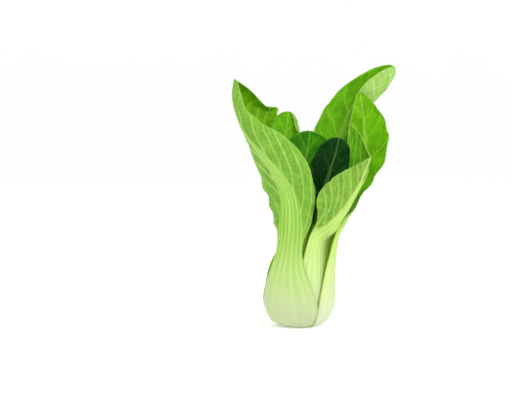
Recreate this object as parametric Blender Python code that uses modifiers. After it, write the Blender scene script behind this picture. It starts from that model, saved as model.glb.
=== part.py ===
"""A head of green-stalked bok choy that stands on its cut face.

A short cone of stem carries eleven clasping leaves. Each leaf is one solid: a thick stalk that starts on the
stem, belly and all, and a thin cupped blade. Run it with: blender --background --python part.py
Metres, +Z up, origin at the centre of the cut face. The leaf tables are in millimetres and degrees.
"""

import math

import bmesh
import bpy
import numpy as np

MM = 0.001

# Driving dimensions, in millimetres.
BULB_RADIUS = 28.5  # outside of the outer stalks at the belly
BELLY_CURVE = 18.0  # radius of the rounded bottom of an outer stalk
FLOOR_GAP = 0.1  # the lowest part of an outer stalk is this far above the cut face
WALL_HEIGHT = 34.0  # where the stalks stand upright above the belly
SHOULDER_HEIGHT = 47.0  # where the stalks leave the bulb
STEM_RADIUS = 13.1  # the cut face
STEM_HEIGHT = 16.0  # top of the cone that carries the heart leaves
STALK_EDGE = 1.4  # thickness of a stalk at its margin
BLADE_EDGE = 0.9  # thickness of a blade away from its rib
TIP_END = 0.985  # how far round the tip the mesh runs

THICKENING = (0.62, 0.8, 1.0, 0.98, 0.9)  # share of a stalk's full thickness at each of its stations
CURLING = (0.0, 0.7, 1.0, 1.0, 1.0)  # share of the curl of its margins at each of them

# Mesh density.
ROWS_PER_STATION = 2
COLUMNS = 8
SECTION_STEPS = 6  # integration steps in each column of a section
STEM_SEGMENTS = 32


def smooth(knots, values, at):
    """A smooth curve through values at knots, with its tangents taken from the neighbouring points."""
    slopes = np.empty_like(values)
    slopes[1:-1] = (values[2:] - values[:-2]) / (knots[2:] - knots[:-2])[:, None]
    slopes[0] = (values[1] - values[0]) / (knots[1] - knots[0])
    slopes[-1] = (values[-1] - values[-2]) / (knots[-1] - knots[-2])
    i = np.clip(np.searchsorted(knots, at, side="right") - 1, 0, len(knots) - 2)
    span = (knots[i + 1] - knots[i])[:, None]
    t = (at - knots[i])[:, None] / span
    return (
        (1 + 2 * t) * (1 - t) ** 2 * values[i]
        + t * (1 - t) ** 2 * span * slopes[i]
        + t**2 * (3 - 2 * t) * values[i + 1]
        + t**2 * (t - 1) * span * slopes[i + 1]
    )


def unit(vectors):
    return vectors / np.linalg.norm(vectors, axis=-1, keepdims=True)


def compass(degrees):
    """The level unit vector that points along an azimuth, counted from +X towards +Y."""
    angle = np.radians(degrees)
    return np.stack([np.cos(angle), np.sin(angle), np.zeros_like(angle)], axis=-1)


def stalk_rows(leaf):
    """The stations of a stalk from the stem to the shoulder: a rounded bottom, a belly and an upright wall."""
    depth = leaf["depth"]
    belly = BULB_RADIUS - depth
    curve = BELLY_CURVE - 0.55 * depth
    centre_z = FLOOR_GAP + 0.8 * depth + curve
    places = [
        (belly - curve + curve * math.cos(math.radians(a)), centre_z + curve * math.sin(math.radians(a)))
        for a in (leaf["start"], -48.0, 0.0)
    ]
    places += [
        (belly - leaf["waist"][0], WALL_HEIGHT),
        (belly - leaf["waist"][1], SHOULDER_HEIGHT),
    ]
    rows = []
    for (radius, z), share, thick, curl in zip(places, leaf["taper"], THICKENING, CURLING):
        x, y = radius * compass(leaf["azimuth"])[:2]
        bends = [span * share for span in leaf["spans"]]
        widths = [radius * math.radians(bend) for bend in bends]
        tucks = [tuck * curl for tuck in leaf["tucks"]]
        rows.append([x, y, z, leaf["azimuth"], *widths, *bends, thick * leaf["rib"], *tucks])
    return rows


def leaf_stations(leaf):
    """Every station of a leaf: its row, the tucks of its margins, whether it turns with the rib and is blade."""
    bulb = [[*row, 0.0, 0.0] for row in stalk_rows(leaf)]
    neck = [[*leaf["rows"][0], 0.0, 0.0, 1.0, 0.0]]
    blade = [[*row, 0.0, 0.0, 1.0, 1.0] for row in leaf["rows"][1:]]
    return np.array(bulb + neck + blade, float)


def sections(width, bend, tuck, fold, blade, columns):
    """One side of every section as distances sideways and inwards: an arc that turns through bend over width.

    On the blade the turn is made between the two shares of the width that fold gives. The tuck is turned mostly
    near the margin.
    """
    fine = columns * SECTION_STEPS
    middle = (np.arange(fine) + 0.5) / fine
    folded = np.clip((middle - fold[0]) / (fold[1] - fold[0]), 0, 1)
    turn = np.radians(bend)[:, None] * ((1 - blade) * middle + blade * folded)
    turn += np.radians(tuck)[:, None] * middle**3
    step = width[:, None] / fine
    sideways = np.cumsum(np.cos(turn) * step, axis=1)[:, SECTION_STEPS - 1 :: SECTION_STEPS]
    inwards = np.cumsum(np.sin(turn) * step, axis=1)[:, SECTION_STEPS - 1 :: SECTION_STEPS]
    return sideways, inwards


def leaf_surface(leaf):
    """The back of a leaf as points[row, column], and how thick the leaf is at each."""
    table = leaf_stations(leaf)
    runs = np.linalg.norm(np.diff(table[:, :3], axis=0), axis=1)
    knots = np.concatenate([[0.0], np.cumsum(runs)])
    places = np.linspace(0, len(table) - 1, (len(table) - 1) * ROWS_PER_STATION + 1)
    at = np.interp(places, np.arange(len(table)), knots)
    read = smooth(knots, table, at)
    middle, facing = read[:, :3], read[:, 3]
    turning = np.clip(read[:, 11], 0, 1)[:, None]
    blade = np.clip(read[:, 12], 0, 1)[:, None]

    along = unit(np.gradient(middle, at, axis=0))
    face = compass(facing)
    free_out = unit(face - np.sum(face * along, axis=1, keepdims=True) * along)
    free_side = np.cross(along, free_out)
    bulb_out = compass(np.full(len(at), leaf["azimuth"]))
    bulb_side = np.cross([0.0, 0.0, 1.0], bulb_out)
    out = unit((1 - turning) * bulb_out + turning * free_out)
    side = unit((1 - turning) * bulb_side + turning * free_side)

    past = np.clip((at / at[-1] - 1) / leaf["tip"] + 1, 0, TIP_END)
    round_off = np.sqrt(1 - past**2)
    half = COLUMNS // 2
    points = np.empty((len(at), COLUMNS + 1, 3))
    points[:, half] = middle
    for edge_at, sign in enumerate((-1, 1)):
        width = read[:, 4 + edge_at] * round_off
        bend, tuck = read[:, 6 + edge_at], read[:, 9 + edge_at]
        sideways, inwards = sections(width, bend, tuck, leaf["folds"][edge_at], blade, half)
        forwards = leaf["sweep"][edge_at] * blade * width[:, None] * np.arange(1, half + 1) / half
        offset = sign * sideways[..., None] * side[:, None] - inwards[..., None] * out[:, None]
        offset += forwards[..., None] * along[:, None]
        columns = half + sign * np.arange(1, half + 1)
        points[:, columns] = middle[:, None] + offset

    share = np.abs(np.linspace(-1, 1, COLUMNS + 1))
    edge = STALK_EDGE + (BLADE_EDGE - STALK_EDGE) * blade
    bump = (1 - share**2) ** (1 + 6 * blade)
    thick = edge + np.maximum(read[:, 8:9] - edge, 0) * bump
    return points, thick


def material(name, colour, roughness):
    made = bpy.data.materials.new(name)
    made.use_nodes = True
    shader = made.node_tree.nodes["Principled BSDF"]
    shader.inputs["Base Color"].default_value = (*colour, 1.0)
    shader.inputs["Roughness"].default_value = roughness
    shader.inputs["Metallic"].default_value = 0.0
    return made


def add_leaf(leaf, collection, finish):
    """A leaf as an open surface with its back outwards, given its thickness inwards by Solidify."""
    points, thick = leaf_surface(leaf)
    rows = len(points) - 1
    mesh = bpy.data.meshes.new(leaf["name"])
    grid = bmesh.new()
    bmesh.ops.create_grid(grid, x_segments=COLUMNS, y_segments=rows, size=1.0)
    places = [(round((v.co.y + 1) * rows / 2), round((v.co.x + 1) * COLUMNS / 2)) for v in grid.verts]
    for vertex, place in zip(grid.verts, places):
        vertex.co = points[place] * MM
    grid.to_mesh(mesh)
    grid.free()
    mesh.materials.append(finish)
    mesh.shade_smooth()

    shown = bpy.data.objects.new(leaf["name"], mesh)
    collection.objects.link(shown)
    group = shown.vertex_groups.new(name="thickness")
    for index, place in enumerate(places):
        group.add([index], thick[place] / leaf["rib"], "REPLACE")
    shell = shown.modifiers.new("thickness", "SOLIDIFY")
    shell.thickness = leaf["rib"] * MM
    shell.offset = -1.0
    shell.vertex_group = group.name
    return shown


def add_stem(collection, finish):
    """The stem as a turned cone with a rounded top and a flat cut face."""
    top = [(0.0, STEM_HEIGHT), (2.4, STEM_HEIGHT - 0.8), (4.4, 13.0), (5.6, 11.8)]
    whorls = [(6.6, 8.4), (8.6, 7.0), (9.6, 4.3), (11.6, 3.3)]
    foot = [(STEM_RADIUS - 0.2, 0.9), (STEM_RADIUS, 0.0), (0.0, 0.0)]
    profile = top + whorls + foot
    mesh = bpy.data.meshes.new("stem_core")
    line = bmesh.new()
    ends = [line.verts.new((x * MM, 0.0, z * MM)) for x, z in profile]
    for first, second in zip(ends, ends[1:]):
        line.edges.new((first, second))
    line.to_mesh(mesh)
    line.free()
    mesh.materials.append(finish)
    stem = bpy.data.objects.new("stem_core", mesh)
    collection.objects.link(stem)
    turn = stem.modifiers.new("turned", "SCREW")
    turn.steps = turn.render_steps = STEM_SEGMENTS
    turn.use_merge_vertices = True
    turn.merge_threshold = 0.00001
    return stem


def leaf(name, azimuth, depth, rows, spans, tucks=(24, 24), rib=5.0, waist=(0.7, 2.5), start=-80.0,
         taper=(1.0, 1.0, 1.0, 0.82, 0.68), folds=((0, 1), (0, 1)), sweep=(0, 0), tip=0.18):
    """What one leaf needs. Pairs are clockwise then counterclockwise, seen from above.

    azimuth: where the stalk stands round the stem. depth: how far inside the bulb's skin its back lies.
    spans: the angles that the stalk covers at the belly, and tucks how much more its margins curl in.
    taper: the share of the spans kept at each stalk station. waist: how far it draws in above the belly.
    folds: the shares of the half-widths between which the blade bends. sweep: how much its edges lean forwards.
    tip: the last share of the length, which rounds off.
    rows: the neck and the blade, each x, y, z, the azimuth that its back faces, two half-widths, two bends
    and the thickness at the rib.
    """
    return {"name": name, "azimuth": azimuth, "depth": depth, "rows": rows, "spans": spans, "tucks": tucks,
            "rib": rib, "waist": waist, "start": start, "taper": taper, "folds": folds, "sweep": sweep,
            "tip": tip}


LEAVES = [
    leaf("leaf_01_right", 8, 0.0, spans=(61, 50), tucks=(34, 12), rib=6.5, waist=(0.0, -0.3),
         taper=(0.92, 1.0, 1.0, 0.85, 0.72), rows=[
             (30.5, 4, 67, 10, 19, 14, 38, 36, 5.5),
             (35.5, 8, 81, 24, 14, 12, 44, 36, 4.5),
             (41, 12, 97, 44, 12, 12, 30, 30, 3.2),
             (47, 16, 113, 60, 14, 14, 26, 26, 2.4),
             (51.5, 17, 131, 70, 19, 14, 26, 26, 1.8),
             (52.5, 17, 148, 72, 21, 14, 26, 26, 1.4),
             (51, 16, 165, 72, 18, 11, 26, 26, 1.1),
             (48, 15, 183, 70, 12, 8, 26, 26, 0.9),
         ]),
    leaf("leaf_02_front_left", -119, 0.0, spans=(62, 62), tucks=(14, 22), rib=6.5, waist=(0.8, 3.6),
         taper=(0.92, 1.0, 1.0, 0.78, 0.62), sweep=(-0.14, 0), tip=0.14, rows=[
             (-9, -18.5, 67, -117, 12, 12, 45, 45, 5.5),
             (-7.5, -19.5, 84, -110, 17, 17, 40, 34, 4.5),
             (-9, -21, 101, -110, 21, 21, 45, 30, 3.2),
             (-16, -24, 117, -118, 25, 25, 55, 28, 2.6),
             (-29, -26, 134, -138, 34, 25, 80, 36, 2.1),
             (-40.5, -25, 149, -160, 41, 20, 105, 50, 1.7),
             (-48.5, -22, 165, -176, 47, 15, 112, 60, 1.3),
             (-51.5, -20, 179, -178, 56, 15, 112, 60, 1.0),
             (-50, -18, 192, -174, 60, 16, 110, 40, 0.9),
         ]),
    leaf("leaf_03_back", 112, 0.3, spans=(51, 60), tucks=(36, 0), rib=6.2,
         taper=(0.92, 1.0, 1.0, 0.82, 0.68), folds=((0.5, 0.75), (0, 1)), tip=0.1, rows=[
             (-4, 20, 68, 108, 9, 12, 40, 40, 5.0),
             (-6, 27, 92, 100, 12, 16, 35, 35, 4.0),
             (-9, 34, 116, 96, 16, 19, 30, 34, 2.4),
             (-10, 41, 138, 94, 16, 20, 50, 36, 1.6),
             (-9, 45, 153, 94, 17, 18, 120, 36, 1.1),
             (-7, 46, 167, 94, 17, 14, 150, 30, 0.9),
         ]),
    leaf("leaf_04_front_right", -44, 6.0, spans=(52, 39), tucks=(24, 12), rib=5.0, waist=(0.3, 1.0),
         taper=(1.0, 1.0, 1.0, 0.9, 0.86), folds=((0, 1), (0.0, 0.3)), sweep=(0, 1.0), rows=[
             (16.5, -13.5, 67, -48, 11, 13, 45, 38, 4.5),
             (25.5, -17.5, 77, -52, 16, 8, 30, 60, 3.8),
             (35, -20, 91, -58, 26, 14, 26, 110, 3.0),
             (43, -20, 106, -58, 23, 25, 26, 126, 2.2),
             (48.5, -19.5, 118, -55, 16, 38, 30, 126, 1.6),
             (51.5, -18.5, 126, -50, 10, 36, 30, 122, 1.2),
             (54, -18, 132, -45, 6, 16, 30, 110, 0.9),
         ]),
    leaf("leaf_05_left", 178, 6.0, spans=(52, 52), rib=5.0, rows=[
        (-17, 2, 68, 178, 8, 10, 40, 40, 4.4),
        (-19, 6, 90, 174, 12, 12, 40, 40, 3.2),
        (-23, 15, 113, 160, 17, 14, 38, 38, 2.2),
        (-28, 24, 134, 150, 16, 14, 36, 36, 1.5),
        (-29, 29, 150, 145, 13, 13, 36, 36, 1.0),
        (-28, 31, 161, 145, 10, 10, 36, 36, 0.9),
    ]),
    leaf("leaf_06_back_right", 41, 6.5, spans=(42, 50), rib=5.0, folds=((0.3, 0.6), (0, 1)), tip=0.11, rows=[
        (16, 14.5, 70, 45, 12, 10, 40, 40, 4.5),
        (20, 23, 95, 58, 12, 13, 36, 36, 3.4),
        (27, 31, 120, 72, 13, 20, 30, 28, 2.4),
        (34, 35, 146, 80, 20, 22, 40, 22, 1.8),
        (42, 37, 167, 84, 26, 19, 120, 20, 1.4),
        (52, 35, 184, 88, 31, 13, 170, 20, 1.1),
        (64, 32, 195, 92, 32, 9, 178, 20, 0.9),
        (76, 28.5, 203, 94, 34, 8, 178, 20, 0.9),
    ]),
    leaf("leaf_07_front_inner", -97, 11.8, spans=(46, 35), rib=4.0, rows=[
        (-1, -10.5, 67, -97, 8, 7, 40, 40, 3.4),
        (0, -11, 85, -95, 12, 11, 36, 36, 2.4),
        (1.5, -11, 101, -92, 13, 12, 34, 34, 1.6),
        (2, -11, 114, -92, 11, 11, 30, 30, 1.1),
        (2, -10.5, 123, -92, 8, 8, 30, 30, 0.9),
    ]),
    leaf("leaf_08_back_inner", 126, 11.8, spans=(46, 43), rib=4.0, rows=[
        (-6, 9, 68, 120, 9, 9, 40, 40, 3.6),
        (-3, 13, 94, 106, 15, 15, 34, 34, 2.6),
        (2, 17, 117, 97, 22, 22, 24, 24, 1.8),
        (7, 19, 136, 92, 25, 24, 20, 20, 1.2),
        (9, 19.5, 152, 90, 23, 21, 18, 18, 0.9),
    ]),
    leaf("leaf_09_right_inner", -12, 11.8, spans=(34, 46), rib=4.0, rows=[
        (12, -2, 68, -10, 7, 9, 40, 40, 3.6),
        (15, 0, 90, 18, 11, 12, 34, 34, 2.6),
        (21, 4, 110, 50, 15, 16, 26, 26, 1.8),
        (27, 6, 128, 66, 17, 17, 20, 20, 1.2),
        (32, 7, 147, 72, 16, 17, 20, 20, 0.9),
    ]),
    leaf("leaf_10_heart_left", -152, 16.6, spans=(35, 36), rib=3.0, rows=[
        (-6, -3, 60, -152, 5, 5, 40, 40, 2.2),
        (-6, -3, 76, -152, 6, 5, 36, 36, 1.4),
        (-5, -2.5, 92, -152, 6, 5, 30, 30, 0.9),
    ]),
    leaf("leaf_11_heart_right", 73, 17.4, spans=(44, 44), rib=3.0, rows=[
        (2, 3.5, 58, 73, 6, 6, 40, 40, 2.2),
        (2, 4, 72, 73, 8, 8, 36, 36, 1.4),
        (2, 4.5, 86, 73, 6, 6, 30, 30, 0.9),
    ]),
]


def main():
    for old in list(bpy.data.objects):
        bpy.data.objects.remove(old)
    collection = bpy.data.collections.new("bok_choy")
    bpy.context.scene.collection.children.link(collection)
    green = material("leaf", (0.25, 0.5, 0.06), 0.42)
    pale = material("stem", (0.72, 0.74, 0.55), 0.6)
    add_stem(collection, pale)
    for one in LEAVES:
        add_leaf(one, collection, green)


main()
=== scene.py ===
"""The looks of a head of green-stalked bok choy: fluted stalks, veined blades and a fresh cut face.

Each leaf is rebuilt from the same tables as its CAD solid, at a finer grain, with its strands, veins,
ruffles and blisters as real relief. Lengths in the tables are millimetres and angles are degrees. The rest
is in metres.
"""

import math

import bpy
import numpy as np
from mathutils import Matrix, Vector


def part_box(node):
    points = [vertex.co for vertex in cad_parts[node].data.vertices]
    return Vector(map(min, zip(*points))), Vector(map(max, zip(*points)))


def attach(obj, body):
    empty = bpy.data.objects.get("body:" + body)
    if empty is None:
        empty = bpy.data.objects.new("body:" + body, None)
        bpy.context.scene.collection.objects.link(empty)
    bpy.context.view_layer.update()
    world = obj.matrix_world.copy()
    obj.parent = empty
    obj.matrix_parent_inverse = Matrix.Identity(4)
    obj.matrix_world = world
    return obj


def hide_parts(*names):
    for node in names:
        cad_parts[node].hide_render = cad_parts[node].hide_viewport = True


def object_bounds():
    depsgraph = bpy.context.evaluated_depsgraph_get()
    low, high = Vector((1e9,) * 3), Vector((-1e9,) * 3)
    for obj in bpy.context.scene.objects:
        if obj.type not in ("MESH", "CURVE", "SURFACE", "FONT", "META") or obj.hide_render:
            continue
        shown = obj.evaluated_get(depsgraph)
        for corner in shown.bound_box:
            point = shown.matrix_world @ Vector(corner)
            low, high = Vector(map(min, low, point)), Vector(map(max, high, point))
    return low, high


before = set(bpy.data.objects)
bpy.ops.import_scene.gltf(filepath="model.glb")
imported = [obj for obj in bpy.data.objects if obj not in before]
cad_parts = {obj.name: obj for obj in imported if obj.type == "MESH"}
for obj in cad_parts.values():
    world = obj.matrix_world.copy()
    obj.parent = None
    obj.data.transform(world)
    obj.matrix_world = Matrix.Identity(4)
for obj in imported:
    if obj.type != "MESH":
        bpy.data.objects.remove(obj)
cad_low, cad_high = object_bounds()

MM = 0.001
BODY = "root"

# ---------------------------------------------------------------- the leaves' shape, as in the CAD

BULB_RADIUS = 28.5
BELLY_CURVE = 18.0  # radius of the rounded bottom of an outer stalk
BELLY_TURNS = (-80.0, -48.0, 0.0)  # angles of the stations round that bottom
FLOOR_GAP = 0.1
WALL_HEIGHT = 34.0
SHOULDER_HEIGHT = 47.0
STEM_RADIUS = 13.1
TIP_END = 0.9985  # share of the rounded tip that is kept, so that it ends in a short edge
THICKENING = (0.62, 0.8, 1.0, 0.98, 0.9)  # share of the rib's thickness at each stalk station
CURLING = (0.0, 0.7, 1.0, 1.0, 1.0)  # share of the tucks at each stalk station
STALK_STATIONS = len(THICKENING)

# ---------------------------------------------------------------- the fine relief

ROW_STEP = 0.62  # distance between rows of points along a leaf
TIP_ROWS = 60  # rows in the rounded tip
HALF_COLUMNS = 44  # columns of points from the rib to a margin
ARC_STEPS = 288  # integration steps across half a section
STALK_EDGE = 1.1  # thickness near the margin of a stalk
BLADE_EDGE = 0.55  # thickness of a blade away from its rib
EDGE_ROUNDING = 0.05  # share of the half-width over which the margin is rounded
RIB_END = 0.55  # half-width of the rib at the tip
VEIN_WIDTH = 0.4  # half-width of a side vein
DEPARTURES = (0.05, 0.15, 0.27, 0.4, 0.54, 0.68, 0.83)  # where side veins leave the rib, as shares
FLUTED_FROM = (12, 55)  # heights at which the stalk's flutes begin and are full
RIB_HEIGHT = 0.9  # how far the rib stands out of the back of a blade
MIDLINE_DEPTH = 0.3  # depth of the channel along the face of the rib
BACK_VEIN_HEIGHT = 0.42
FACE_VEIN_HEIGHT = 0.22
BLISTER_HEIGHT = 0.3
PUFF_HEIGHT = 0.2  # how far the tissue swells between side veins
BUCKLE_HEIGHT = 0.5  # height of the broad waves of a blade

# ---------------------------------------------------------------- the stage, in metres

FLOOR_DEPTH = 0.0002  # how far the floor lies below the part
FLOOR_BASE = 0.93
FLOOR_GLOW = 0.31
FLOOR_FLAT = 2.4  # radius at which the floor begins to rise
FLOOR_CURVE = 1.4  # radius of the curve between floor and wall
WALL_TOP = 4.0
WORLD_STRENGTH = 0.2
LIGHTS = (
    # name, place, diameter, watts
    ("key", (0.5, -1.4, 1.3), 0.8, 15.5),
    ("fill", (-1.3, -0.8, 0.6), 1.0, 2.5),
    ("back", (-0.3, 1.3, 1.1), 0.9, 5.0),
)
VIEW_WIDTH = 0.3997  # width of the scene across the picture, at the stem
VIEW_CENTRE = (-0.0336, 0.0, 0.0985)
LENS = 100.0
SENSOR = 36.0
RAISED = math.radians(4.0)  # how far the camera looks down


def smooth(knots, values, at):
    """A smooth curve through values at knots, with its tangents taken from the neighbouring points."""
    slopes = np.empty_like(values)
    slopes[1:-1] = (values[2:] - values[:-2]) / (knots[2:] - knots[:-2])[:, None]
    slopes[0] = (values[1] - values[0]) / (knots[1] - knots[0])
    slopes[-1] = (values[-1] - values[-2]) / (knots[-1] - knots[-2])
    i = np.clip(np.searchsorted(knots, at, side="right") - 1, 0, len(knots) - 2)
    span = (knots[i + 1] - knots[i])[:, None]
    t = (at - knots[i])[:, None] / span
    return (
        (1 + 2 * t) * (1 - t) ** 2 * values[i]
        + t * (1 - t) ** 2 * span * slopes[i]
        + t**2 * (3 - 2 * t) * values[i + 1]
        + t**2 * (t - 1) * span * slopes[i + 1]
    )


def unit(vectors):
    """Vectors of length one along the given ones."""
    return vectors / np.maximum(np.linalg.norm(vectors, axis=-1, keepdims=True), 1e-9)


def ease(low, high, value):
    """0 below low, 1 above high, and a smooth step between them."""
    t = np.clip((value - low) / (high - low), 0, 1)
    return t * t * (3 - 2 * t)


def wander(seed, x, y):
    """Smooth noise from -1 to 1 with features one unit across."""
    lattice = np.random.default_rng(seed).uniform(-1, 1, (64, 64))
    x, y = np.broadcast_arrays(x, y)
    i, j = np.floor(x).astype(int), np.floor(y).astype(int)
    fx, fy = ease(0, 1, x - i), ease(0, 1, y - j)
    near = lattice[i % 64, j % 64] * (1 - fy) + lattice[i % 64, (j + 1) % 64] * fy
    far = lattice[(i + 1) % 64, j % 64] * (1 - fy) + lattice[(i + 1) % 64, (j + 1) % 64] * fy
    return near * (1 - fx) + far * fx


def compass(degrees):
    """The level unit vector that points along an azimuth, counted from +X towards +Y."""
    angle = np.radians(degrees)
    return np.stack([np.cos(angle), np.sin(angle), np.zeros_like(angle)], axis=-1)


def stalk_rows(leaf):
    """The stations of a stalk from the stem to the shoulder: round bottom, belly and upright wall."""
    depth = leaf["depth"]
    belly = BULB_RADIUS - depth
    curve = BELLY_CURVE - 0.55 * depth
    centre_z = FLOOR_GAP + 0.8 * depth + curve
    places = [
        (belly - curve + curve * math.cos(math.radians(a)), centre_z + curve * math.sin(math.radians(a)))
        for a in BELLY_TURNS
    ]
    places += [
        (belly - leaf["waist"][0], WALL_HEIGHT),
        (belly - leaf["waist"][1], SHOULDER_HEIGHT),
    ]
    rows = []
    for (radius, z), share, thick, curl in zip(places, leaf["taper"], THICKENING, CURLING):
        x, y = radius * compass(leaf["azimuth"])[:2]
        bends = [span * share for span in leaf["spans"]]
        widths = [radius * math.radians(bend) for bend in bends]
        tucks = [tuck * curl for tuck in leaf["tucks"]]
        rows.append([x, y, z, leaf["azimuth"], *widths, *bends, thick * leaf["rib"], *tucks])
    return rows


def leaf_stations(leaf):
    """Every station of a leaf: its row, its tucks, and whether it turns with the rib and is blade."""
    bulb = [[*row, 0.0, 0.0] for row in stalk_rows(leaf)]
    neck = [[*leaf["rows"][0], 0.0, 0.0, 1.0, 0.0]]
    blade = [[*row, 0.0, 0.0, 1.0, 1.0] for row in leaf["rows"][1:]]
    return np.array(bulb + neck + blade, float)


def section(width, bend, tuck, fold, blade, shares):
    """One side of every section as distances sideways and inwards at the given shares of its width."""
    middle = (np.arange(ARC_STEPS) + 0.5) / ARC_STEPS
    folded = np.clip((middle - fold[0]) / (fold[1] - fold[0]), 0, 1)
    turn = np.radians(bend)[:, None] * ((1 - blade) * middle + blade * folded)
    turn += np.radians(tuck)[:, None] * middle**3
    step = width[:, None] / ARC_STEPS
    place = shares * ARC_STEPS
    low = np.minimum(place.astype(int), ARC_STEPS - 1)
    part = place - low
    both = []
    for run in (np.cos(turn) * step, np.sin(turn) * step):
        total = np.concatenate([np.zeros((len(width), 1)), np.cumsum(run, axis=1)], axis=1)
        both.append(total[:, low] * (1 - part) + total[:, low + 1] * part)
    return both


def rows_along(length, tip_share):
    """The places of the rows along a leaf: even steps, then closer ones round the tip."""
    tip = length * tip_share
    even = np.linspace(0, length - tip, int((length - tip) / ROW_STEP))
    angle = np.linspace(0, math.asin(TIP_END), TIP_ROWS)[1:]
    return np.concatenate([even, length - tip + tip * np.sin(angle)])


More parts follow.
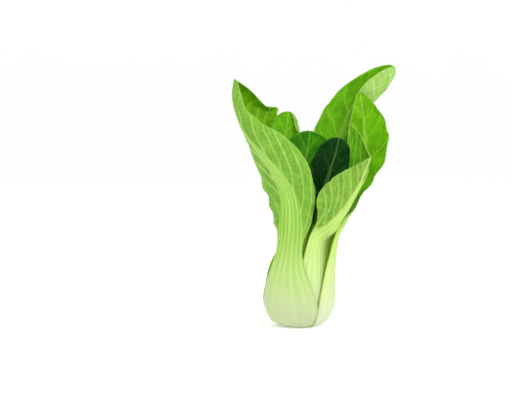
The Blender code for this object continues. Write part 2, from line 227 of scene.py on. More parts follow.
class LeafSurface:
    """A leaf's back as points[row, column], with all that its relief and colours are worked out from."""

    def __init__(self, leaf):
        table = leaf_stations(leaf)
        runs = np.linalg.norm(np.diff(table[:, :3], axis=0), axis=1)
        knots = np.concatenate([[0.0], np.cumsum(runs)])
        length = knots[-1]
        at = rows_along(length, leaf["tip"])
        read = smooth(knots, table, at)
        middle = read[:, :3]
        turning = np.clip(read[:, 11], 0, 1)[:, None]
        blade = np.clip(read[:, 12], 0, 1)[:, None]

        along = unit(np.gradient(middle, at, axis=0))
        face = compass(read[:, 3])
        free_out = unit(face - np.sum(face * along, axis=1, keepdims=True) * along)
        bulb_out = compass(np.full(len(at), leaf["azimuth"]))
        out = unit((1 - turning) * bulb_out + turning * free_out)
        bulb_side = np.cross([0.0, 0.0, 1.0], bulb_out)
        side = unit((1 - turning) * bulb_side + turning * np.cross(along, free_out))

        past = np.clip((at / length - 1) / leaf["tip"] + 1, 0, 1)
        round_off = np.sqrt(1 - past**2)
        even = np.linspace(0, 1, HALF_COLUMNS + 1)
        shares = even * (1.4 - 0.4 * even**2)
        self.shares = np.concatenate([-shares[:0:-1], shares])[None, :]
        self.points = np.empty((len(at), 2 * HALF_COLUMNS + 1, 3))
        self.across = np.empty(self.points.shape[:2])
        for edge_at, sign in enumerate((-1, 1)):
            width = read[:, 4 + edge_at] * round_off
            teeth = wander(leaf["seed"] + edge_at, at / 1.9, 0.5) * ease(0.3, 0.8, blade[:, 0])
            width = width + leaf["teeth"] * teeth * ease(0.0, 8.0, width)
            bend, tuck = read[:, 6 + edge_at], read[:, 9 + edge_at]
            sideways, inwards = section(width, bend, tuck, leaf["folds"][edge_at], blade, shares)
            forwards = leaf["sweep"][edge_at] * blade * width[:, None] * shares
            offset = sign * sideways[..., None] * side[:, None] - inwards[..., None] * out[:, None]
            offset += forwards[..., None] * along[:, None]
            columns = HALF_COLUMNS + sign * np.arange(HALF_COLUMNS + 1)
            self.points[:, columns] = middle[:, None] + offset
            self.across[:, columns] = sign * width[:, None] * shares
        self.leaf = leaf
        self.at = at[:, None]
        self.length = length
        self.neck = knots[STALK_STATIONS]
        self.blade = blade
        self.rib = read[:, 8:9]
        self.neck_width = 0.5 * (table[STALK_STATIONS, 4] + table[STALK_STATIONS, 5])
        self.normals = self.face_normals(out)
        self.find_strands()
        self.find_veins()

    def face_normals(self, out):
        """Unit normals that point out of the leaf's back."""
        lengthways = np.gradient(self.points, axis=0)
        crossways = np.gradient(self.points, axis=1)
        normals = unit(np.cross(crossways, lengthways))
        middle = normals[:, HALF_COLUMNS]
        flip = np.sign(np.sum(middle * out, axis=1).mean())
        return normals * flip

    def find_strands(self):
        """The strand that passes each point: 0 in the middle of the rib and 1 for the first one to leave it.

        Strands run side by side up the stalk. On the blade each one leaves the rib and becomes a side vein.
        """
        seed = self.leaf["seed"]
        distance = np.abs(self.across)
        progress = np.clip((self.at - self.neck) / (self.length - self.neck), 0, 1)
        self.progress = progress
        stalk_half = np.where(self.across < 0, np.abs(self.across[:, :1]), self.across[:, -1:])
        bundle = RIB_END + (self.neck_width - RIB_END) * (1 - progress) ** 2.3
        self.bundle = np.where(progress > 0, np.minimum(bundle, stalk_half), np.maximum(stalk_half, 0.5))
        wobble = 3.0 * wander(seed + 11, self.at / 15, self.across / 8)
        beyond = np.maximum(distance - self.bundle, 0)
        left_at = self.at - self.leaf["lean"] * beyond + wobble * ease(0, 6, beyond) + 0.006 * beyond**2
        left = np.clip((left_at - self.neck) / (self.length - self.neck), 0, progress)
        inside = np.clip(distance / self.bundle, 0, 1)
        self.strand = np.where(beyond > 0, 1 - left, inside * (1 - progress)) ** 2
        self.in_rib = 1 - ease(0.75, 1.25, distance / self.bundle)
        self.in_rib = np.where(progress > 0, self.in_rib, 1.0)

    def find_veins(self):
        """How near each point is to a strand, as a rounded flute and as a thin vein, both from 0 to 1.

        Only every second strand shows as a flute. A vein is never thinner than the mesh can carry.
        """
        starts = np.array(DEPARTURES)
        flute = np.zeros(self.across.shape)
        vein = np.zeros(self.across.shape)
        rise = np.gradient(self.strand, axis=0) / np.gradient(self.at, axis=0)
        fall = np.gradient(self.strand, axis=1) / np.where(
            np.abs(np.gradient(self.across, axis=1)) < 0.01, 0.01, np.gradient(self.across, axis=1)
        )
        slope = np.maximum(np.hypot(rise, fall), 1e-4)
        mesh_step = np.abs(rise * np.gradient(self.at, axis=0))
        mesh_step += np.abs(fall * np.gradient(self.across, axis=1))
        vein_width = np.maximum(VEIN_WIDTH, 0.6 * mesh_step / slope)
        for sign in (-1, 1):
            jitter = np.random.default_rng(self.leaf["seed"] + 5 + sign).uniform(-0.02, 0.02, len(starts))
            lines = np.sort((1 - np.clip(starts + jitter, 0.01, 0.95)) ** 2)
            lines = np.concatenate([[0.0], lines, [1.2]])
            i = np.clip(np.searchsorted(lines, self.strand) - 1, 0, len(lines) - 2)
            low, high = lines[i], lines[i + 1]
            nearest = np.minimum(self.strand - low, high - self.strand) / slope
            here = np.sign(self.across) == sign
            ridges = np.concatenate([[0.0], lines[2:-1:2], [1.4]])
            r = np.clip(np.searchsorted(ridges, self.strand) - 1, 0, len(ridges) - 2)
            root = np.sqrt(self.strand)
            turn = (root - np.sqrt(ridges[r])) / (np.sqrt(ridges[r + 1]) - np.sqrt(ridges[r]))
            flute = np.where(here, 0.5 + 0.5 * np.cos(2 * math.pi * turn), flute)
            vein = np.where(here, np.exp(-((nearest / vein_width) ** 2)), vein)
        flute[:, HALF_COLUMNS] = 1.0
        midline = np.exp(-((self.across / (0.07 * self.bundle + 0.35)) ** 2))
        self.midline = midline * ease(0.0, 0.1, self.progress)
        self.flute = flute
        reach = ease(1.0, 0.88, np.abs(self.shares)) * ease(1.0, 0.9, self.progress)
        patchy = 0.72 + 0.28 * wander(self.leaf["seed"] + 61, self.at / 13, self.across / 5)
        self.vein = vein * (0.35 + 0.65 * reach) * patchy

    def relief(self):
        """How far the back and the face stand out from the plain surface, and what moves both together."""
        leaf, seed = self.leaf, self.leaf["seed"]
        edge = np.abs(self.shares)
        on_blade = ease(0.15, 0.9, self.blade) * np.ones_like(self.across)
        tissue = on_blade * (1 - self.in_rib)
        height = self.points[..., 2]
        uneven = 0.75 + 0.5 * wander(seed + 51, self.at / 60, self.across / 7)
        fluted = ease(*FLUTED_FROM, height) * (1 + 0.6 * on_blade) * ease(1.0, 0.8, edge) * uneven
        stalk = leaf["flutes"] * fluted * self.in_rib * (self.flute - 0.6)
        rib = on_blade * self.in_rib * RIB_HEIGHT * np.sqrt(np.clip(self.bundle / 6, 0, 1))
        rib *= np.sqrt(np.clip(1.05 - (self.across / np.maximum(self.bundle * 1.25, 0.1)) ** 2, 0, 1))
        side_veins = BACK_VEIN_HEIGHT * tissue * self.vein * ease(1.0, 0.6, edge)
        blister = BLISTER_HEIGHT * wander(seed + 21, self.at / 6.5, self.across / 4.6)
        blister = blister + PUFF_HEIGHT * self.flute
        back = stalk + rib + side_veins

        face = FACE_VEIN_HEIGHT * tissue * self.vein - MIDLINE_DEPTH * on_blade * self.midline
        wave_height, wave_length = leaf["ruffle"]
        phase = 2 * math.pi * self.at / wave_length
        phase = phase + 1.7 * wander(seed + 31, self.at / 30, np.sign(self.across))
        reach = ease(0.45, 1.0, edge) ** 1.5
        reach = reach * ease(0.0, 0.12, self.progress) * ease(1.0, 0.85, self.progress)
        both = wave_height * reach * np.sin(phase + 2.1 * (self.across > 0))
        both += tissue * blister * ease(1.0, 0.9, edge)
        buckle = wander(seed + 41, self.at / 11, self.across / 11) * ease(1.0, 0.85, edge)
        both += BUCKLE_HEIGHT * tissue * buckle
        return back, face, both

    def layers(self):
        """The points of the back and of the face of the leaf."""
        back, face, both = self.relief()
        edge = np.abs(self.shares)
        thin = STALK_EDGE + (BLADE_EDGE - STALK_EDGE) * self.blade
        bump = np.clip(1 - edge**2, 0, 1) ** (1 + 6 * self.blade)
        thick = thin + np.maximum(self.rib - thin, 0) * bump * (1 - 0.55 * self.blade)
        near_edge = np.clip((edge - 1 + EDGE_ROUNDING) / EDGE_ROUNDING, 0, 1)
        rounding = np.sqrt(np.clip(1 - near_edge**2, 0.003, 1))
        drawn_in = 0.5 * thick * (1 - rounding)
        outer = both + back * rounding - drawn_in
        inner = both - thick + drawn_in + face * rounding
        normals = self.normals
        return self.points + outer[..., None] * normals, self.points + inner[..., None] * normals


def shell(name, leaf_surface):
    """A closed mesh of the leaf, with its strands, veins and regions stored on its points."""
    back, face = leaf_surface.layers()
    rows, columns = back.shape[:2]
    count = rows * columns
    index = np.arange(count).reshape(rows, columns)
    a, b, c, d = index[:-1, :-1], index[:-1, 1:], index[1:, 1:], index[1:, :-1]
    outside = np.stack([a, b, c, d], axis=-1).reshape(-1, 4)
    inside = outside[:, ::-1] + count
    rim = np.concatenate([index[0], index[1:, -1], index[-1, -2::-1], index[-2:0:-1, 0]])
    after = np.roll(rim, -1)
    wall = np.stack([after, rim, rim + count, after + count], axis=-1)
    quads = np.concatenate([outside, inside, wall])
    points = np.concatenate([back.reshape(-1, 3), face.reshape(-1, 3)]) * MM

    first = points[quads[: len(outside)]]
    turn = np.cross(first[:, 1] - first[:, 0], first[:, 2] - first[:, 0])
    outwards = np.sum(turn * leaf_surface.normals[:-1, :-1].reshape(-1, 3), axis=1).sum()
    if outwards < 0:
        quads = quads[:, ::-1]

    mesh = bpy.data.meshes.new(name)
    mesh.vertices.add(len(points))
    mesh.vertices.foreach_set("co", points.ravel())
    mesh.loops.add(quads.size)
    mesh.loops.foreach_set("vertex_index", quads.ravel())
    mesh.polygons.add(len(quads))
    mesh.polygons.foreach_set("loop_start", np.arange(0, quads.size, 4))
    mesh.update(calc_edges=True)
    mesh.validate()
    mesh.shade_smooth()

    s = leaf_surface
    blade = ease(0.0, 0.8, s.blade)
    fleshy = 0.85 * s.in_rib
    tissue = blade * (1 - fleshy)
    face_tissue = blade * (1 - fleshy * (1 - 0.75 * ease(0.0, 0.3, s.progress)))
    edge = np.abs(s.across) - np.abs(np.where(s.across < 0, s.across[:, :1], s.across[:, -1:]))
    fields = {
        "vein": s.vein * np.ones_like(s.across),
        "flute": s.flute,
        "rib": s.in_rib * ease(0.0, 0.25, s.progress) * np.ones_like(s.across),
        "midline": s.midline,
        "rim": np.exp(-((edge / 0.9) ** 2)),
        "tipward": s.progress * np.ones_like(s.across),
    }
    for label, values in fields.items():
        both = np.concatenate([values.ravel(), values.ravel()]).astype(np.float32)
        mesh.attributes.new(label, "FLOAT", "POINT").data.foreach_set("value", both)
    sides = {"inner": (np.zeros(count), np.ones(count)), "tissue": (tissue.ravel(), face_tissue.ravel())}
    for label, values in sides.items():
        both = np.concatenate(values).astype(np.float32)
        mesh.attributes.new(label, "FLOAT", "POINT").data.foreach_set("value", both)
    flow = np.stack([s.strand * 40, s.at * np.ones_like(s.across), s.across], axis=-1).reshape(-1, 3)
    flat = np.concatenate([flow, flow]).astype(np.float32)
    mesh.attributes.new("flow", "FLOAT_VECTOR", "POINT").data.foreach_set("vector", flat.ravel())

    piece = bpy.data.objects.new(name, mesh)
    bpy.context.scene.collection.objects.link(piece)
    return piece


# ---------------------------------------------------------------- materials


def linear(red, green, blue):
    """A colour given as screen values from 0 to 255, in the linear values that a shader takes."""
    values = [c / 255 for c in (red, green, blue)]
    return tuple(c / 12.92 if c <= 0.04045 else ((c + 0.055) / 1.055) ** 2.4 for c in values)


class Nodes:
    """Short names for the shader nodes that the materials share."""

    def __init__(self, name):
        self.material = bpy.data.materials.new(name)
        self.material.use_nodes = True
        self.tree = self.material.node_tree
        self.shader = self.tree.nodes["Principled BSDF"]

    def put(self, socket, value):
        """Links a socket to another one, or gives it a value."""
        if isinstance(value, bpy.types.NodeSocket):
            self.tree.links.new(value, socket)
        elif isinstance(value, tuple) and len(value) == 3 and socket.type == "RGBA":
            socket.default_value = (*value, 1.0)
        else:
            socket.default_value = value

    def field(self, name, kind="Fac"):
        """What the mesh stores on its points under a name."""
        node = self.tree.nodes.new("ShaderNodeAttribute")
        node.attribute_name = name
        return node.outputs[kind]

    def math(self, operation, first, second=0.0):
        node = self.tree.nodes.new("ShaderNodeMath")
        node.operation = operation
        self.put(node.inputs[0], first)
        self.put(node.inputs[1], second)
        return node.outputs[0]

    def mix(self, factor, first, second):
        """One colour turning into another as the factor goes from 0 to 1."""
        node = self.tree.nodes.new("ShaderNodeMix")
        node.data_type = "RGBA"
        self.put(node.inputs["Factor"], factor)
        self.put(node.inputs[6], first)
        self.put(node.inputs[7], second)
        return node.outputs[2]

    def step(self, value, low, high, to_low=0.0, to_high=1.0):
        """A smooth step between two values, as value goes from low to high."""
        node = self.tree.nodes.new("ShaderNodeMapRange")
        node.interpolation_type = "SMOOTHSTEP"
        for label, given in (("Value", value), ("From Min", low), ("From Max", high)):
            self.put(node.inputs[label], given)
        self.put(node.inputs["To Min"], to_low)
        self.put(node.inputs["To Max"], to_high)
        return node.outputs[0]

    def scaled(self, vector, scale):
        node = self.tree.nodes.new("ShaderNodeVectorMath")
        node.operation = "MULTIPLY"
        self.put(node.inputs[0], vector)
        node.inputs[1].default_value = scale
        return node.outputs[0]

    def noise(self, vector, detail=3.0):
        node = self.tree.nodes.new("ShaderNodeTexNoise")
        self.put(node.inputs["Vector"], vector)
        node.inputs["Scale"].default_value = 1.0
        node.inputs["Detail"].default_value = detail
        node.inputs["Roughness"].default_value = 0.55
        return node.outputs["Fac"]

    def cells(self, vector):
        """The distance to the nearest border of a pattern of cells."""
        node = self.tree.nodes.new("ShaderNodeTexVoronoi")
        node.feature = "DISTANCE_TO_EDGE"
        self.put(node.inputs["Vector"], vector)
        node.inputs["Scale"].default_value = 1.0
        return node.outputs["Distance"]

    def height(self):
        """The height above the floor, in metres."""
        place = self.tree.nodes.new("ShaderNodeNewGeometry")
        split = self.tree.nodes.new("ShaderNodeSeparateXYZ")
        self.tree.links.new(place.outputs["Position"], split.inputs[0])
        return split.outputs["Z"]

    def bump(self, height, strength, distance):
        node = self.tree.nodes.new("ShaderNodeBump")
        self.put(node.inputs["Height"], height)
        node.inputs["Strength"].default_value = strength
        node.inputs["Distance"].default_value = distance
        self.tree.links.new(node.outputs[0], self.shader.inputs["Normal"])


def leaf_material(name, colours):
    """Waxy leaf tissue: pale fluted stalk, veined blade, with its back lighter and duller than its face."""
    n = Nodes(name)
    flow = n.field("flow", "Vector")
    inner = n.field("inner")
    tissue = n.field("tissue")
    vein = n.field("vein")
    flute = n.field("flute")
    tipward = n.field("tipward")

    patches = n.step(n.noise(n.scaled(flow, (0.0, 0.13, 0.16)), 4.0), 0.25, 0.75)
    network = n.cells(n.scaled(flow, (0.0, 0.42, 0.42)))
    veinlets = n.cells(n.scaled(flow, (0.0, 0.12, 0.2)))
    fine_lines = n.step(network, 0.0, 0.16, 0.4, 0.0)
    coarse_lines = n.step(veinlets, 0.0, 0.045, 1.0, 0.0)
    mesh_line = n.math("MAXIMUM", fine_lines, coarse_lines)
    fibres = n.noise(n.scaled(flow, (0.55, 0.02, 0.0)), 2.0)

    back = n.mix(patches, colours["back_dark"], colours["back"])
    back = n.mix(n.math("MULTIPLY", mesh_line, 0.28), back, colours["back_vein"])
    back = n.mix(n.math("MULTIPLY", vein, 0.85), back, colours["back_vein"])
    face = n.mix(patches, colours["face_dark"], colours["face"])
    face = n.mix(n.math("MULTIPLY", mesh_line, 0.25), face, colours["face_vein"])
    face = n.mix(n.math("MULTIPLY", vein, 0.85), face, colours["face_vein"])
    blade = n.mix(inner, back, face)
    blade = n.mix(n.math("MULTIPLY", n.field("rim"), 0.55), blade, colours["rim"])

    low = n.step(n.height(), 0.002, 0.045)
    high = n.step(n.height(), 0.03, 0.085)
    # The bulb colour is the pale whitish base of the stalks. It is painted a little greyer and darker as
    # painted shade low down by the floor.
    stalk = n.mix(low, colours["bulb"], colours["stalk"])
    stalk = n.mix(high, stalk, colours["neck"])
    # Painted shade: the grooves between the flutes are painted a darker green. This is partly the stalk's
    # own green lines and partly the shade that falls in the grooves. The fibre streaks below take the same
    # colour.
    groove = n.math("MULTIPLY", n.math("SUBTRACT", 1.0, flute), n.step(n.height(), 0.025, 0.08, 0.05, 0.5))
    stalk = n.mix(groove, stalk, colours["groove"])
    stalk = n.mix(n.math("MULTIPLY", n.step(fibres, 0.45, 0.75), 0.22), stalk, colours["groove"])
    # Painted light and shade: the inner faces of the stalks near the base face the narrow gaps between the
    # stalks. They are painted olive yellow-green, the look of those gaps rather than of the tissue. The
    # stalk rims get the same olive.
    inside = n.math("MULTIPLY", inner, n.step(tipward, 0.0, 0.2, 0.75, 0.0))
    margin = n.math("MAXIMUM", inside, n.math("MULTIPLY", n.field("rim"), 0.8))
    stalk = n.mix(margin, stalk, colours["margin"])
    colour = n.mix(tissue, stalk, blade)
    midrib = n.mix(inner, colours["back_vein"], colours["face_vein"])
    ribbed = n.math("MULTIPLY", n.field("rib"), n.math("SUBTRACT", 1.0, inner))
    ribbed = n.math("MULTIPLY", ribbed, n.step(tipward, 0.1, 0.5, 0.0, 0.35))
    colour = n.mix(n.math("MAXIMUM", ribbed, n.math("MULTIPLY", n.field("midline"), 0.6)), colour, midrib)
    n.put(n.shader.inputs["Base Color"], colour)

    pores = n.noise(n.scaled(flow, (0.0, 2.3, 2.3)), 2.0)
    rough = n.step(n.math("ADD", n.math("MULTIPLY", pores, 0.5), patches), 0.0, 1.5, 0.38, 0.54)
    n.put(n.shader.inputs["Roughness"], n.math("MAXIMUM", rough, n.math("MULTIPLY", inside, 1.3)))
    creases = n.math("ADD", n.step(network, 0.0, 0.25), n.step(veinlets, 0.0, 0.12, 0.0, 1.5))
    relief = n.math("MULTIPLY", n.math("MULTIPLY", creases, tissue), 0.8)
    relief = n.math("ADD", relief, n.math("MULTIPLY", pores, 0.25))
    n.bump(relief, 0.5, 0.00035)
    n.shader.inputs["Metallic"].default_value = 0.0
    n.shader.inputs["Subsurface Weight"].default_value = 0.35
    n.shader.inputs["Subsurface Radius"].default_value = (0.7, 1.0, 0.25)
    n.shader.inputs["Subsurface Scale"].default_value = 0.0022
    n.shader.inputs["IOR"].default_value = 1.3
    n.shader.inputs["Specular IOR Level"].default_value = 0.22
    return n.material


def stem_material():
    """The cut stem: greenish white pith with a greener ring and the fine tracks of the knife."""
    n = Nodes("cut_stem")
    coordinates = n.tree.nodes.new("ShaderNodeTexCoord").outputs["Object"]
    across = n.scaled(coordinates, (1.0, 1.0, 0.0))
    reach = n.tree.nodes.new("ShaderNodeVectorMath")
    reach.operation = "LENGTH"
    n.tree.links.new(across, reach.inputs[0])
    wobble = n.math("MULTIPLY", n.noise(n.scaled(coordinates, (260.0, 260.0, 260.0))), 0.0022)
    distance = n.math("ADD", reach.outputs["Value"], wobble)
    ring = n.math("MULTIPLY", n.step(distance, 0.007, 0.0095), n.step(distance, 0.0125, 0.0105))
    colour = n.mix(n.step(distance, 0.0, 0.007), linear(222, 228, 196), linear(206, 219, 168))
    colour = n.mix(n.math("MULTIPLY", ring, 0.7), colour, linear(164, 186, 98))
    colour = n.mix(n.step(distance, 0.0125, 0.014), colour, linear(196, 206, 158))
    tracks = n.noise(n.scaled(coordinates, (2200.0, 180.0, 900.0)))
    specks = n.step(n.noise(n.scaled(coordinates, (900.0, 900.0, 900.0))), 0.6, 0.72)
    colour = n.mix(n.math("MULTIPLY", specks, 0.35), colour, linear(150, 138, 92))
    n.put(n.shader.inputs["Base Color"], colour)
    n.put(n.shader.inputs["Roughness"], n.step(tracks, 0.2, 0.8, 0.42, 0.62))
    n.bump(n.math("ADD", tracks, n.math("MULTIPLY", specks, 0.5)), 0.4, 0.0003)
    n.shader.inputs["Subsurface Weight"].default_value = 0.3
    n.shader.inputs["Subsurface Radius"].default_value = (1.0, 1.0, 0.5)
    n.shader.inputs["Subsurface Scale"].default_value = 0.002
    return n.material


# ---------------------------------------------------------------- the leaves


def leaf(name, azimuth, depth, rows, spans, rib, seed, ruffle, teeth, flutes, lean=1.3,
         tucks=(24, 24), waist=(0.7, 2.5), taper=(1.0, 1.0, 1.0, 0.82, 0.68),
         folds=((0, 1), (0, 1)), sweep=(0, 0), tip=0.18):
    """What one leaf needs. Pairs are clockwise then counterclockwise, seen from above.

    azimuth: where the stalk stands round the stem. depth: how far inside the bulb's skin its back lies.
    spans: the angles that the stalk covers at the belly, and tucks how much more its margins curl in.
    taper: the share of the spans kept at each stalk station. waist: how far it draws in above the belly.
    folds: the shares of the half-widths between which the blade bends.
    sweep: how much its edges lean forwards. tip: the last share of the length, which rounds off.
    rows: the neck and the blade, each x, y, z, the azimuth that its back faces, two half-widths, two bends
    and the thickness at the rib.
    ruffle: height and length of the waves of its margin. teeth: how uneven the margin is.
    flutes: how deep the channels of the stalk are.
    lean: how far a side vein runs forwards for each step sideways.
    """
    return {"name": name, "azimuth": azimuth, "depth": depth, "rows": rows, "spans": spans, "rib": rib,
            "seed": seed, "ruffle": ruffle, "teeth": teeth, "flutes": flutes, "lean": lean,
            "tucks": tucks, "waist": waist, "taper": taper, "folds": folds, "sweep": sweep, "tip": tip}


LEAVES = [
    leaf("leaf_01_right", 8, 0.0, spans=(61, 50), tucks=(34, 12), rib=6.5, waist=(0.0, -0.3),
         taper=(0.92, 1.0, 1.0, 0.85, 0.72),
         seed=3, ruffle=(0.9, 19.0), teeth=0.35, flutes=0.5, rows=[
             (30.5, 4, 67, 10, 19, 14, 38, 36, 5.5),
             (35.5, 8, 81, 24, 14, 12, 44, 36, 4.5),
             (41, 12, 97, 44, 12, 12, 30, 30, 3.2),
             (47, 16, 113, 60, 14, 14, 26, 26, 2.4),
             (51.5, 17, 131, 70, 19, 14, 26, 26, 1.8),
             (52.5, 17, 148, 72, 21, 14, 26, 26, 1.4),
             (51, 16, 165, 72, 18, 11, 26, 26, 1.1),
             (48, 15, 183, 70, 12, 8, 26, 26, 0.9),
         ]),
    leaf("leaf_02_front_left", -119, 0.0, spans=(62, 62), tucks=(14, 22), rib=6.5, waist=(0.8, 3.6),
         taper=(0.92, 1.0, 1.0, 0.78, 0.62), sweep=(-0.14, 0), tip=0.14,
         seed=7, ruffle=(1.0, 21.0), teeth=0.35, flutes=0.65, lean=2.2, rows=[
             (-9, -18.5, 67, -117, 12, 12, 45, 45, 5.5),
             (-7.5, -19.5, 84, -110, 17, 17, 40, 34, 4.5),
             (-9, -21, 101, -110, 21, 21, 45, 30, 3.2),
             (-16, -24, 117, -118, 25, 25, 55, 28, 2.6),
             (-29, -26, 134, -138, 34, 25, 80, 36, 2.1),
             (-40.5, -25, 149, -160, 41, 20, 105, 50, 1.7),
             (-48.5, -22, 165, -176, 47, 15, 112, 60, 1.3),
             (-51.5, -20, 179, -178, 56, 15, 112, 60, 1.0),
             (-50, -18, 192, -174, 60, 16, 110, 40, 0.9),
         ]),
    leaf("leaf_03_back", 112, 0.3, spans=(51, 60), tucks=(36, 0), rib=6.2,
         taper=(0.92, 1.0, 1.0, 0.82, 0.68), folds=((0.5, 0.75), (0, 1)), tip=0.1,
         seed=12, ruffle=(0.8, 17.0), teeth=0.3, flutes=0.4, rows=[
             (-4, 20, 68, 108, 9, 12, 40, 40, 5.0),
             (-6, 27, 92, 100, 12, 16, 35, 35, 4.0),
             (-9, 34, 116, 96, 16, 19, 30, 34, 2.4),
             (-10, 41, 138, 94, 16, 20, 50, 36, 1.6),
             (-9, 45, 153, 94, 17, 18, 120, 36, 1.1),
             (-7, 46, 167, 94, 17, 14, 150, 30, 0.9),
         ]),
    leaf("leaf_04_front_right", -44, 6.0, spans=(52, 39), tucks=(24, 12), rib=5.0, waist=(0.3, 1.0),
         taper=(1.0, 1.0, 1.0, 0.9, 0.86), folds=((0, 1), (0.0, 0.3)), sweep=(0, 1.0),
         seed=17, ruffle=(0.8, 14.0), teeth=0.45, flutes=0.34, lean=1.8, rows=[
             (16.5, -13.5, 67, -48, 11, 13, 45, 38, 4.5),
             (25.5, -17.5, 77, -52, 16, 8, 30, 60, 3.8),
             (35, -20, 91, -58, 26, 14, 26, 110, 3.0),
             (43, -20, 106, -58, 23, 25, 26, 126, 2.2),
             (48.5, -19.5, 118, -55, 16, 38, 30, 126, 1.6),
             (51.5, -18.5, 126, -50, 10, 36, 30, 122, 1.2),
             (54, -18, 132, -45, 6, 16, 30, 110, 0.9),
         ]),
    leaf("leaf_05_left", 178, 6.0, spans=(52, 52), rib=5.0,
         seed=23, ruffle=(0.9, 18.0), teeth=0.3, flutes=0.4, rows=[
             (-17, 2, 68, 178, 8, 10, 40, 40, 4.4),
             (-19, 6, 90, 174, 12, 12, 40, 40, 3.2),
             (-23, 15, 113, 160, 17, 14, 38, 38, 2.2),
             (-28, 24, 134, 150, 16, 14, 36, 36, 1.5),
             (-29, 29, 150, 145, 13, 13, 36, 36, 1.0),
             (-28, 31, 161, 145, 10, 10, 36, 36, 0.9),
         ]),
    leaf("leaf_06_back_right", 41, 6.5, spans=(42, 50), rib=5.0, folds=((0.3, 0.6), (0, 1)), tip=0.11,
         seed=29, ruffle=(1.0, 19.0), teeth=0.3, flutes=0.4, rows=[
             (16, 14.5, 70, 45, 12, 10, 40, 40, 4.5),
             (20, 23, 95, 58, 12, 13, 36, 36, 3.4),
             (27, 31, 120, 72, 13, 20, 30, 28, 2.4),
             (34, 35, 146, 80, 20, 22, 40, 22, 1.8),
             (42, 37, 167, 84, 26, 19, 120, 20, 1.4),
             (52, 35, 184, 88, 31, 13, 170, 20, 1.1),
             (64, 32, 195, 92, 32, 9, 178, 20, 0.9),
             (76, 28.5, 203, 94, 34, 8, 178, 20, 0.9),
         ]),
    leaf("leaf_07_front_inner", -97, 11.8, spans=(46, 35), rib=4.0,
         seed=37, ruffle=(0.5, 13.0), teeth=0.25, flutes=0.3, rows=[
             (-1, -10.5, 67, -97, 8, 7, 40, 40, 3.4),
             (0, -11, 85, -95, 12, 11, 36, 36, 2.4),
             (1.5, -11, 101, -92, 13, 12, 34, 34, 1.6),
             (2, -11, 114, -92, 11, 11, 30, 30, 1.1),
             (2, -10.5, 123, -92, 8, 8, 30, 30, 0.9),
         ]),
    leaf("leaf_08_back_inner", 126, 11.8, spans=(46, 43), rib=4.0,
         seed=41, ruffle=(0.8, 15.0), teeth=0.3, flutes=0.3, rows=[
             (-6, 9, 68, 120, 9, 9, 40, 40, 3.6),
             (-3, 13, 94, 106, 15, 15, 34, 34, 2.6),
             (2, 17, 117, 97, 22, 22, 24, 24, 1.8),
             (7, 19, 136, 92, 25, 24, 20, 20, 1.2),
             (9, 19.5, 152, 90, 23, 21, 18, 18, 0.9),
         ]),
    leaf("leaf_09_right_inner", -12, 11.8, spans=(34, 46), rib=4.0,
         seed=47, ruffle=(0.7, 15.0), teeth=0.3, flutes=0.3, rows=[
             (12, -2, 68, -10, 7, 9, 40, 40, 3.6),
             (15, 0, 90, 18, 11, 12, 34, 34, 2.6),
             (21, 4, 110, 50, 15, 16, 26, 26, 1.8),
             (27, 6, 128, 66, 17, 17, 20, 20, 1.2),
             (32, 7, 147, 72, 16, 17, 20, 20, 0.9),
         ]),
    leaf("leaf_10_heart_left", -152, 16.6, spans=(35, 36), rib=3.0,
         seed=53, ruffle=(0.3, 9.0), teeth=0.2, flutes=0.2, rows=[
             (-6, -3, 60, -152, 5, 5, 40, 40, 2.2),
             (-6, -3, 76, -152, 6, 5, 36, 36, 1.4),
             (-5, -2.5, 92, -152, 6, 5, 30, 30, 0.9),
         ]),
    leaf("leaf_11_heart_right", 73, 17.4, spans=(44, 44), rib=3.0,
         seed=59, ruffle=(0.3, 9.0), teeth=0.2, flutes=0.2, rows=[
             (2, 3.5, 58, 73, 6, 6, 40, 40, 2.2),
             (2, 4, 72, 73, 8, 8, 36, 36, 1.4),
             (2, 4.5, 86, 73, 6, 6, 30, 30, 0.9),
         ]),
]


def colours(**given):
    """A leaf's colours on screen, with what it shares with most leaves filled in."""
    usual = {
        # bulb: the pale base, partly its own whitish tone and partly painted shade low down.
        "bulb": (208, 216, 178),
        "stalk": (188, 214, 134),
        "neck": (166, 206, 92),
        # groove: darker green of the grooves, partly their own tint and partly painted shade.
        "groove": (120, 178, 34),
        # margin: olive painted on the inner faces near the base as the light and shade of the gaps between
        # stalks, and on the stalk rims.
        "margin": (142, 186, 20),
        "back": (138, 188, 62),
        "back_dark": (108, 160, 46),
        "back_vein": (180, 214, 114),
        "face": (108, 176, 0),
        "face_dark": (72, 138, 0),
        "face_vein": (150, 204, 50),
        "rim": (160, 204, 86),
    }
    usual.update(given)
    return {label: linear(*value) for label, value in usual.items()}


# Painted shade: the faces of two inner leaves, seen in the gaps between the outer ones, are painted darker
# green in place of the shade that falls on them. The right inner leaf is painted darkest of all.
SHADED_INNER_FACE = {"face": (60, 146, 0), "face_dark": (34, 104, 0), "face_vein": (110, 184, 28), "rim": (84, 156, 24)}
DEEP_SHADE_FACE = {"face": (16, 66, 12), "face_dark": (8, 40, 8), "face_vein": (40, 98, 32), "rim": (48, 112, 28)}
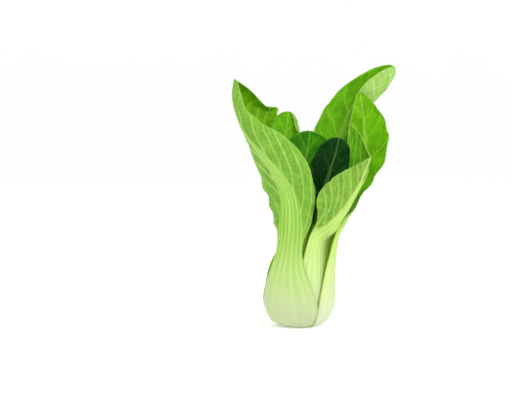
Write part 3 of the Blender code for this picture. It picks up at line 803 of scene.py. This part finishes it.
# Each leaf's colours: its own tones, and in places painted light and shade, as noted.
LEAF_COLOURS_AND_PAINTED_LIGHT = {
    "leaf_01_right": colours(bulb=(212, 218, 192), stalk=(208, 226, 152), neck=(194, 220, 122),
                             groove=(158, 198, 70), margin=(176, 210, 44), face=(116, 182, 0),
                             face_dark=(86, 152, 0)),
    "leaf_02_front_left": colours(bulb=(194, 202, 164), groove=(104, 164, 24), back=(126, 176, 54),
                                  back_dark=(96, 150, 36), back_vein=(184, 220, 124), face=(118, 176, 0),
                                  face_dark=(90, 144, 0)),
    "leaf_03_back": colours(face=(116, 184, 0), face_dark=(88, 158, 0)),
    # Painted light: the front right leaf's stalk, neck and grooves are painted lighter than its tissue. This
    # makes up for the shade that the stalks around it cast on it.
    "leaf_04_front_right": colours(stalk=(206, 226, 156), neck=(196, 222, 126), groove=(160, 202, 84),
                                   back=(128, 174, 56), back_dark=(98, 144, 40), face=(80, 152, 0),
                                   face_dark=(60, 128, 0)),
    "leaf_05_left": colours(),
    # Painted highlight: the back right leaf's back is painted lighter and its veins near white. These stand
    # in for the whitish sheen streaks on its curled tip.
    "leaf_06_back_right": colours(face=(110, 178, 0), face_dark=(80, 146, 0), back=(168, 208, 104),
                                  back_dark=(132, 182, 70), back_vein=(220, 238, 184)),
    "leaf_07_front_inner": colours(back=(96, 150, 48), back_dark=(58, 108, 24), back_vein=(130, 180, 74)),
    "leaf_08_back_inner": colours(**SHADED_INNER_FACE),
    "leaf_09_right_inner": colours(**DEEP_SHADE_FACE),
    "leaf_10_heart_left": colours(face=(150, 190, 50), face_dark=(120, 166, 36)),
    "leaf_11_heart_right": colours(face=(150, 190, 50), face_dark=(120, 166, 36)),
}


def add_leaf(one):
    """One leaf of the head, in place of its CAD solid."""
    name = one["name"]
    piece = shell(name + "_fine", LeafSurface(one))
    piece.data.materials.append(leaf_material(name + "_tissue", LEAF_COLOURS_AND_PAINTED_LIGHT[name]))
    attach(piece, BODY)
    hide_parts(name)


def add_stem():
    """The stem as a turned cone with the scars of its leaves and a cut face that is slightly uneven."""
    low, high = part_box("stem_core")
    foot, top = low.z / MM, high.z / MM
    outline = [(0.0, top), (2.4, top - 0.8), (4.4, 13.0), (5.6, 11.8), (6.6, 8.4), (8.6, 7.0), (9.6, 4.3),
               (11.6, 3.3), (STEM_RADIUS - 0.2, 0.9), (STEM_RADIUS, 0.45), (STEM_RADIUS - 0.3, foot)]
    radii, heights = np.array(outline).T
    face = np.linspace(radii[-1], 0.0, 14)[1:]
    radii = np.concatenate([radii, face])
    heights = np.concatenate([heights, np.full(len(face), foot)])
    turns = 96
    angle = np.linspace(0, 2 * math.pi, turns, endpoint=False)
    ring_at, angle_at = np.meshgrid(np.arange(1, len(radii) - 1), angle, indexing="ij")
    scars = 1 + 0.012 * wander(71, ring_at * 0.9, angle_at * 4 / math.pi)
    radius = radii[ring_at] * scars
    on_face = ring_at > len(outline) - 1
    x, y = radius * np.cos(angle_at), radius * np.sin(angle_at)
    dents = np.where(on_face, 0.12 * np.abs(wander(72, x / 3, y / 3)), 0)
    rings = np.stack([x, y, heights[ring_at] + dents], axis=-1)
    points = np.concatenate([[[0, 0, top]], rings.reshape(-1, 3), [[0, 0, foot]]]) * MM
    grid = 1 + np.arange(rings.shape[0] * turns).reshape(-1, turns)
    beside = np.roll(grid, -1, axis=1)
    faces = np.stack([grid[:-1], grid[1:], beside[1:], beside[:-1]], axis=-1).reshape(-1, 4).tolist()
    faces += [(0, a, b) for a, b in zip(grid[0], beside[0])]
    faces += [(len(points) - 1, b, a) for a, b in zip(grid[-1], beside[-1])]
    mesh = bpy.data.meshes.new("stem_core_fine")
    mesh.from_pydata(points.tolist(), [], faces)
    mesh.validate()
    mesh.shade_smooth()
    mesh.materials.append(stem_material())
    piece = bpy.data.objects.new("stem_core_fine", mesh)
    bpy.context.scene.collection.objects.link(piece)
    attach(piece, BODY)
    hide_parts("stem_core")


# ---------------------------------------------------------------- stage, light and camera


def add_floor():
    """A pale floor that curves up into a wall all round."""
    bend = [
        (FLOOR_FLAT + FLOOR_CURVE * math.sin(a), FLOOR_CURVE - FLOOR_CURVE * math.cos(a))
        for a in np.linspace(0, math.pi / 2, 25)
    ]
    outline = [(0.0, 0.0), (0.6, 0.0), *bend, (FLOOR_FLAT + FLOOR_CURVE, WALL_TOP)]
    turns = 72
    points = [(0.0, 0.0, 0.0)]
    for reach, height in outline[1:]:
        for turn in np.linspace(0, 2 * math.pi, turns, endpoint=False):
            points.append((reach * math.cos(turn), reach * math.sin(turn), height))
    grid = 1 + np.arange((len(outline) - 1) * turns).reshape(-1, turns)
    beside = np.roll(grid, -1, axis=1)
    faces = [(0, a, b) for a, b in zip(grid[0].tolist(), beside[0].tolist())]
    faces += np.stack([grid[:-1], grid[1:], beside[1:], beside[:-1]], axis=-1).reshape(-1, 4).tolist()
    mesh = bpy.data.meshes.new("floor")
    mesh.from_pydata(points, [], faces)
    mesh.shade_smooth()
    n = Nodes("floor")
    n.shader.inputs["Base Color"].default_value = (FLOOR_BASE, FLOOR_BASE, FLOOR_BASE, 1.0)
    n.shader.inputs["Roughness"].default_value = 0.8
    n.shader.inputs["Emission Color"].default_value = (1.0, 1.0, 1.0, 1.0)
    n.shader.inputs["Emission Strength"].default_value = FLOOR_GLOW
    mesh.materials.append(n.material)
    floor = bpy.data.objects.new("floor", mesh)
    floor.location.z = cad_low.z - FLOOR_DEPTH
    bpy.context.scene.collection.objects.link(floor)


def add_light(name, place, size, power, target):
    """A round white lamp that faces the target."""
    data = bpy.data.lights.new(name, "AREA")
    data.shape = "DISK"
    data.size = size
    data.energy = power
    light = bpy.data.objects.new(name, data)
    bpy.context.scene.collection.objects.link(light)
    light.location = place
    away = light.location - target
    light.rotation_euler = away.to_track_quat("Z", "Y").to_euler()


def add_lights(target):
    """Three soft lamps and an even white surround."""
    for name, place, size, power in LIGHTS:
        add_light(name, place, size, power, target)
    world = bpy.data.worlds.new("studio")
    world.use_nodes = True
    background = world.node_tree.nodes["Background"]
    background.inputs["Color"].default_value = (1.0, 1.0, 1.0, 1.0)
    background.inputs["Strength"].default_value = WORLD_STRENGTH
    bpy.context.scene.world = world


def add_camera():
    """The camera in front of the head, turned slightly down."""
    data = bpy.data.cameras.new("camera")
    data.lens = LENS
    data.sensor_width = SENSOR
    camera = bpy.data.objects.new("camera", data)
    bpy.context.scene.collection.objects.link(camera)
    distance = VIEW_WIDTH * LENS / SENSOR
    x, y, z = VIEW_CENTRE
    camera.location = (x, y - distance * math.cos(RAISED), z + distance * math.sin(RAISED))
    camera.rotation_euler = (math.pi / 2 - RAISED, 0.0, 0.0)
    bpy.context.scene.camera = camera


for each in LEAVES:
    add_leaf(each)
add_stem()
add_floor()
add_lights((cad_low + cad_high) / 2)
add_camera()
bpy.context.scene.view_settings.view_transform = "Standard"
